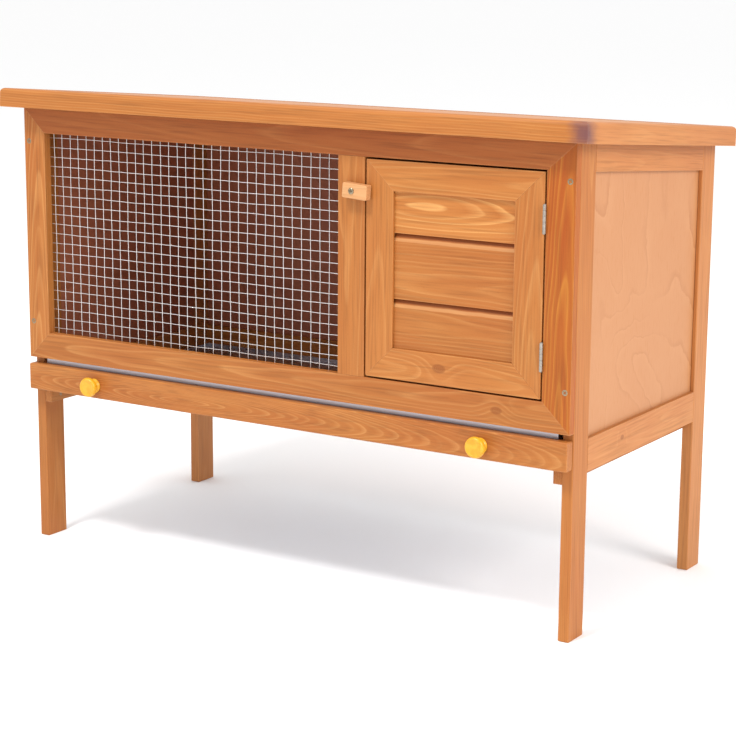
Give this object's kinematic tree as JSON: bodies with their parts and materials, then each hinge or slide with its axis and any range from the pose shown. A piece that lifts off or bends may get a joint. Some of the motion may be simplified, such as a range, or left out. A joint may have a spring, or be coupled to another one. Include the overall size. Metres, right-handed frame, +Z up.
{
  "type": "rabbit hutch",
  "caption": "Raised wooden hutch for a small animal, with a wire-fronted run, a slatted nest door, a pull-out tray and a sloping lid roof on four legs.",
  "frame": {"origin": "on the floor under the centre of the roof's outline", "axes": "+X to the right seen from the front, +Y to the back, +Z up; the front faces -Y"},
  "size_m": [0.91, 0.4495, 0.6495],
  "materials": {
    "stained_fir": "satin honey stain",
    "stained_plywood": "satin honey stain",
    "pale_fir": "satin",
    "dowel_beech": "bare",
    "galvanised_wire": "galvanised",
    "galvanised_sheet": "galvanised",
    "zinc_steel": "zinc plated",
    "yellow_zinc_screw": "yellow zinc plated",
    "yellow_plastic": "satin"
  },
  "bodies": {
    "hutch_body": {"leg_front_left": "stained_fir", "leg_front_right": "stained_fir", "leg_back_left": "stained_fir", "leg_back_right": "stained_fir", "front_stile_left": "stained_fir", "front_stile_centre": "stained_fir", "front_stile_right": "stained_fir", "front_rail_top": "stained_fir", "front_rail_low": "stained_fir", "front_mesh": "galvanised_wire", "mesh_staples": "zinc_steel", "side_rail_low_left": "stained_fir", "side_rail_low_right": "stained_fir", "side_rail_top_left": "stained_fir", "side_rail_top_right": "stained_fir", "side_panel_left": "stained_plywood", "side_panel_right": "stained_plywood", "back_rail_low": "stained_fir", "back_rail_top": "stained_fir", "back_stile": "stained_fir", "back_panel_run": "stained_plywood", "back_panel_nest": "stained_plywood", "partition": "stained_plywood", "partition_battens": "stained_fir", "tray_runner_left": "stained_fir", "tray_runner_right": "stained_fir", "runner_screws": "yellow_zinc_screw", "frame_screws": "yellow_zinc_screw", "rail_dowels": "dowel_beech", "door_hinge_frame_leaves": "zinc_steel", "door_hinge_pins": "zinc_steel", "door_hinge_frame_screws": "yellow_zinc_screw", "roof_hinge_back_leaves": "zinc_steel", "roof_hinge_pins": "zinc_steel", "roof_hinge_back_screws": "yellow_zinc_screw", "turn_button_screw": "yellow_zinc_screw"},
    "door": {"door_stile_left": "stained_fir", "door_stile_right": "stained_fir", "door_rail_top": "stained_fir", "door_rail_low": "stained_fir", "door_slat_top": "stained_fir", "door_slat_middle": "stained_fir", "door_slat_low": "stained_fir", "door_hinge_door_leaves": "zinc_steel", "door_hinge_door_screws": "yellow_zinc_screw"},
    "turn_button": {"turn_button": "pale_fir"},
    "tray": {"tray_front": "stained_fir", "tray_pan": "galvanised_sheet", "knob_left": "yellow_plastic", "knob_right": "yellow_plastic", "knob_screws": "yellow_zinc_screw", "pan_screws": "yellow_zinc_screw"},
    "roof": {"roof_board_front": "stained_fir", "roof_board_right": "stained_fir", "roof_board_back": "stained_fir", "roof_board_left": "stained_fir", "roof_panel": "stained_plywood", "roof_battens": "stained_fir", "roof_hinge_roof_leaves": "zinc_steel", "roof_hinge_roof_screws": "yellow_zinc_screw"}
  },
  "joints": [
    {"name": "door_hinge", "type": "hinge", "parent": "hutch_body", "child": "door", "pos_m": [0.39075, -0.2039, 0.445], "axis": [0, 0, 1], "range_deg": [0, 170]},
    {"name": "turn_button_pivot", "type": "hinge", "parent": "hutch_body", "child": "turn_button", "pos_m": [0.122, -0.2018, 0.545], "axis": [0, -1, 0], "continuous": true},
    {"name": "tray_slide", "type": "slide", "parent": "hutch_body", "child": "tray", "axis": [0, -1, 0], "range_m": [0, 0.39]},
    {"name": "roof_hinge", "type": "hinge", "parent": "hutch_body", "child": "roof", "pos_m": [0, 0.2163, 0.58392], "axis": [-1, 0, 0], "range_deg": [0, 100]}
  ]
}
